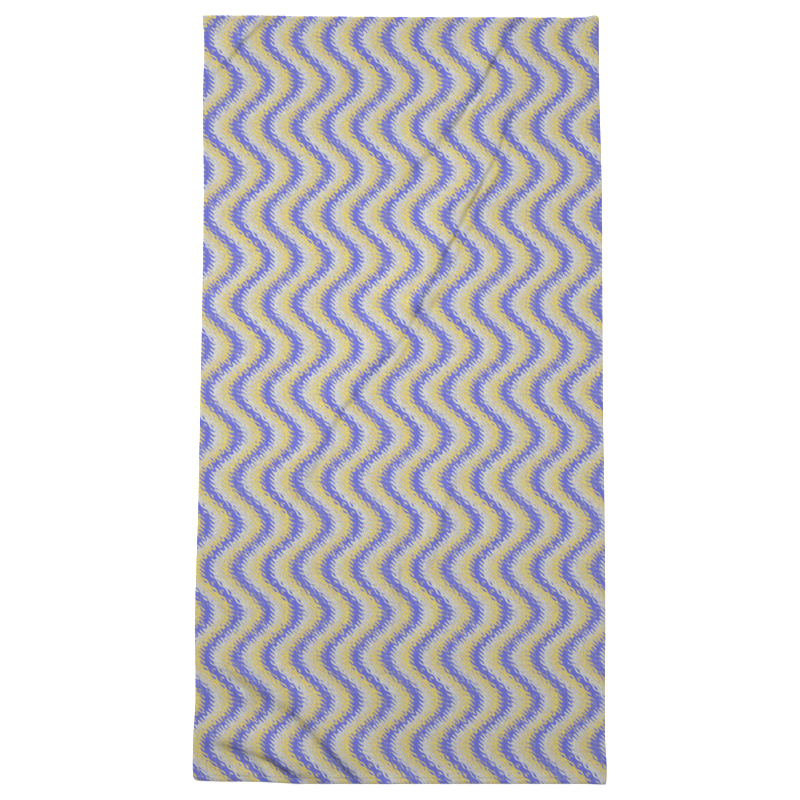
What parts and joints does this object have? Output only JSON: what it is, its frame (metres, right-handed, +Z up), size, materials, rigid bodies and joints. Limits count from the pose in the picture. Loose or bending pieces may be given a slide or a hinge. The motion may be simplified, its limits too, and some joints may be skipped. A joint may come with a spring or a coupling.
{
  "type": "bath towel",
  "caption": "Printed terry bath towel lying face up, hemmed on every side, with low soft creases and a wavy striped print.",
  "frame": {"origin": "on the surface that the towel lies on, under the middle of its outline", "axes": "+X across the towel to the right, +Y along it to its upper end, +Z up out of the printed face"},
  "size_m": [0.7624, 1.416, 0.0135],
  "materials": {
    "printed_terry": "matt printed cotton terry; the colour is the mean of its periwinkle, yellow and pale grey print"
  },
  "bodies": {
    "root": {"towel": "printed_terry"}
  },
  "joints": []
}
